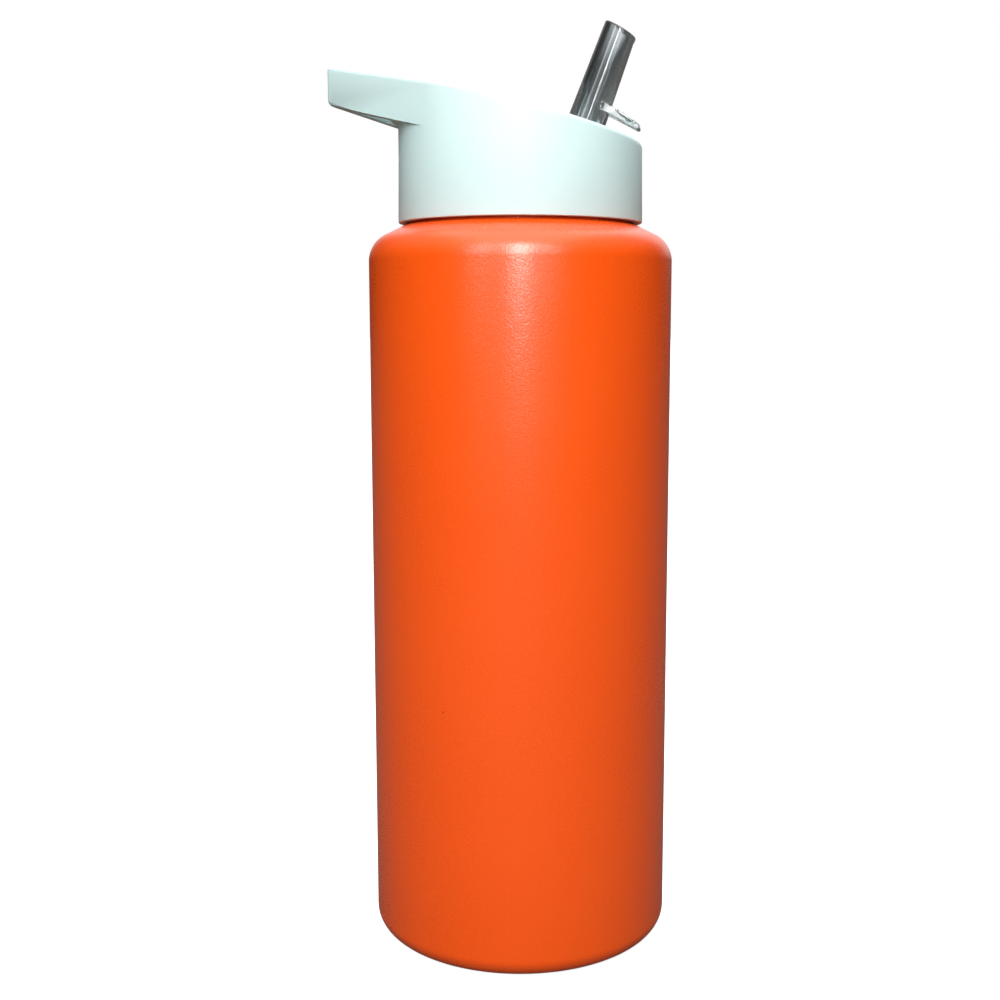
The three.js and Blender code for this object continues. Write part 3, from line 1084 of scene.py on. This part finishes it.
def clear_plastic():
    paint = Finish("clear_plastic")
    flow = paint.noise(5 * MM, detail=2)
    return paint.shade(
        Base_Color=paint.mix(flow, SMOKE_DEEP, SMOKE_LIGHT),
        Roughness=paint.ramp(flow, 0.35, 0.65, start=0.05, end=0.08),
        Normal=paint.bump(flow, depth=0.05 * MM, strength=0.35),
        Transmission_Weight=1.0,
        IOR=1.53,
    )


def milky_plastic():
    paint = Finish("natural_plastic")
    drift = paint.noise(9 * MM, detail=3)
    return paint.shade(
        Base_Color=paint.mix(drift, MILK_DEEP, MILK_LIGHT),
        Roughness=0.28 + drift * 0.1,
        Normal=paint.bump(drift, depth=0.05 * MM, strength=0.3),
        Transmission_Weight=0.35,
        IOR=1.5,
    )


def silicone():
    paint = Finish("silicone")
    grain = paint.noise(0.5 * MM, detail=2)
    drift = paint.noise(6 * MM, detail=2)
    return paint.shade(
        Base_Color=paint.mix(drift, RUBBER_DEEP, RUBBER_LIGHT),
        Roughness=0.52 + grain * 0.12,
        Normal=paint.bump(grain, depth=0.03 * MM, strength=0.5),
        Subsurface_Weight=0.15,
        Subsurface_Scale=1.5 * MM,
    )


clear, milky, soft_rubber = clear_plastic(), milky_plastic(), silicone()
print("finishes:", [m.name for m in (orange, white, clear, milky, soft_rubber)])

# %% [markdown]
# ## Putting it together
# Each piece stands for one node of the frame, rides on that node's body and takes that node's finish, so
# the table of pieces is the frame's own table.

# %% Dress and place every piece
bodies = frame["record"]["behaviour"]["bodies"]
slots = {part["node"]: part["material_slot"] for part in frame["record"]["subparts"]}
finishes = {
    "body_plastic": orange,
    "lid_plastic": white,
    "clear_plastic": clear,
    "natural_plastic": milky,
    "silicone": soft_rubber,
}
pieces = {"bottle_body": body, "lid_shell": lid, "spout": spout, **inner}
for node, piece in pieces.items():
    for shape in (piece, frame["nodes"][node]):
        shape.data.materials.clear()
        shape.data.materials.append(finishes[slots[node]])
    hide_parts(node)
    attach(piece, next(name for name, nodes in bodies.items() if node in nodes))

# %% [markdown]
# ## The floor
# The bottle stands on a pale floor that is white to look at. What the floor throws back onto the bottle is
# much greyer, or its dark edges and the smoky spout would wash out, so it has one colour for what is seen
# directly and another for what is only lit by it.

# %% Lay the floor
FLOOR_SIZE = 20
FLOOR_GREY = (0.7, 0.7, 0.7, 1)
FLOOR_PALE = (0.72, 0.72, 0.72, 1)
FLOOR_BOUNCE = (0.11, 0.1, 0.09, 1)
BLACK = (0, 0, 0, 1)
WHITE = (1, 1, 1, 1)


def lay_floor():
    floor = start("grid", "floor", x_subdivisions=8, y_subdivisions=8, size=FLOOR_SIZE)
    bpy.ops.object.mode_set(mode="OBJECT")
    paint = Finish("floor_paint")
    seen = paint.node("ShaderNodeLightPath", output="Is Camera Ray")
    cloud = paint.mix(paint.noise(0.4), FLOOR_GREY, FLOOR_PALE)
    floor.data.materials.append(
        paint.shade(
            Base_Color=paint.mix(seen, FLOOR_BOUNCE, cloud),
            Emission_Color=paint.mix(seen, BLACK, WHITE),
            Emission_Strength=0.8,
            Roughness=0.9,
            Specular_IOR_Level=0.1,
        )
    )
    print("floor is", FLOOR_SIZE, "m wide")


lay_floor()

# %% [markdown]
# ## Soft light
# One tall soft light stands above the camera and draws the long, soft highlight down the body, and two
# weaker ones beside it draw the fainter bands and fill the sides. A wide one overhead lights the deck, and
# one high behind lifts the edges of the shoulder. Around them the air glows, most of all overhead, and dims
# beside the bottle and just over the floor, so that the bottle's sides turn dark. To look at, it is plain
# white.

# %% Hang the lights
MIDDLE = Vector((0, 0, 0.15))
CAMERA_TURN = 9


def soft_light(name, azimuth, elevation, distance, width, height, power):
    """An area light that looks at the bottle from an azimuth, 0 at the camera and 90 to its right."""
    turn = math.radians(azimuth + CAMERA_TURN)
    rise = math.radians(elevation)
    away = Vector((math.sin(turn) * math.cos(rise), -math.cos(turn) * math.cos(rise), math.sin(rise)))
    data = bpy.data.lights.new(name, "AREA")
    data.shape = "RECTANGLE"
    data.size = width
    data.size_y = height
    data.energy = power
    lamp = bpy.data.objects.new(name, data)
    bpy.context.scene.collection.objects.link(lamp)
    lamp.location = MIDDLE + away * distance
    lamp.rotation_euler = (-away).to_track_quat("-Z", "Y").to_euler()
    print(f"{name}: {power} W over {width} by {height} m")


soft_light("front_light", azimuth=0, elevation=25, distance=0.53, width=0.05, height=0.35, power=2.0)
soft_light("left_light", azimuth=-29, elevation=26, distance=0.53, width=0.09, height=0.33, power=0.5)
soft_light("right_light", azimuth=20, elevation=26, distance=0.53, width=0.09, height=0.33, power=0.4)
soft_light("top_light", azimuth=0, elevation=88, distance=1.3, width=1.6, height=1.6, power=5)
soft_light("back_light", azimuth=180, elevation=55, distance=1.2, width=1.2, height=1.2, power=1.2)


# %% Fill the air
def studio_air():
    """White to look at. The light that it gives is brightest overhead and dim at the sides and low down."""
    world = bpy.data.worlds.new("studio")
    bpy.context.scene.world = world
    world.use_nodes = True
    air = Recipe(world.node_tree)
    direction = air.node("ShaderNodeTexCoord", output="Generated")
    up = air.node("ShaderNodeSeparateXYZ", inputs={"Vector": direction}, output="Z")
    across_sky = air.node("ShaderNodeSeparateXYZ", inputs={"Vector": direction}, output="X")
    beside = air.ramp(across_sky.math("ABSOLUTE", across_sky), 0.3, 0.6, start=1.0, end=0.05)
    low_sky = air.ramp(up, 0.05, 0.14, start=0.1, end=1.0)
    high_sky = air.ramp(up, 0.35, 0.8, start=0.0, end=0.5)
    sky = low_sky * beside + high_sky
    seen = air.node("ShaderNodeLightPath", output="Is Camera Ray")
    background = world.node_tree.nodes["Background"]
    air.feed(background.inputs["Color"], WHITE)
    air.feed(background.inputs["Strength"], sky * (1 - seen) + seen)
    print("air:", len(world.node_tree.nodes), "nodes")


studio_air()
bpy.context.scene.view_settings.view_transform = "Standard"

# %% [markdown]
# ## The camera
# The camera stands a third of a metre away and a little above the bottle's middle, and looks down by under
# eight degrees, so the handle's underside shows and the deck doesn't. It is turned a few degrees to the
# spout's side.

# %% Set up the camera
CAMERA_REACH = 0.32924
CAMERA_Z = 0.1524
CAMERA_DOWN = 7.706
CAMERA_PITCH = math.radians(90 - CAMERA_DOWN)
LENS = 48.17
SENSOR = 36
SHIFT = -0.0203


def set_camera():
    data = bpy.data.cameras.new("camera")
    data.sensor_width = SENSOR
    data.lens = LENS
    data.shift_x = SHIFT
    data.clip_start = 0.01
    camera = bpy.data.objects.new("camera", data)
    bpy.context.scene.collection.objects.link(camera)
    turn = math.radians(CAMERA_TURN)
    camera.location = (CAMERA_REACH * math.sin(turn), -CAMERA_REACH * math.cos(turn), CAMERA_Z)
    camera.rotation_euler = (CAMERA_PITCH, 0, turn)
    bpy.context.scene.camera = camera
    print(f"camera at {CAMERA_REACH:.3f} m, {CAMERA_Z:.3f} m up, {CAMERA_DOWN} degrees down")


set_camera()
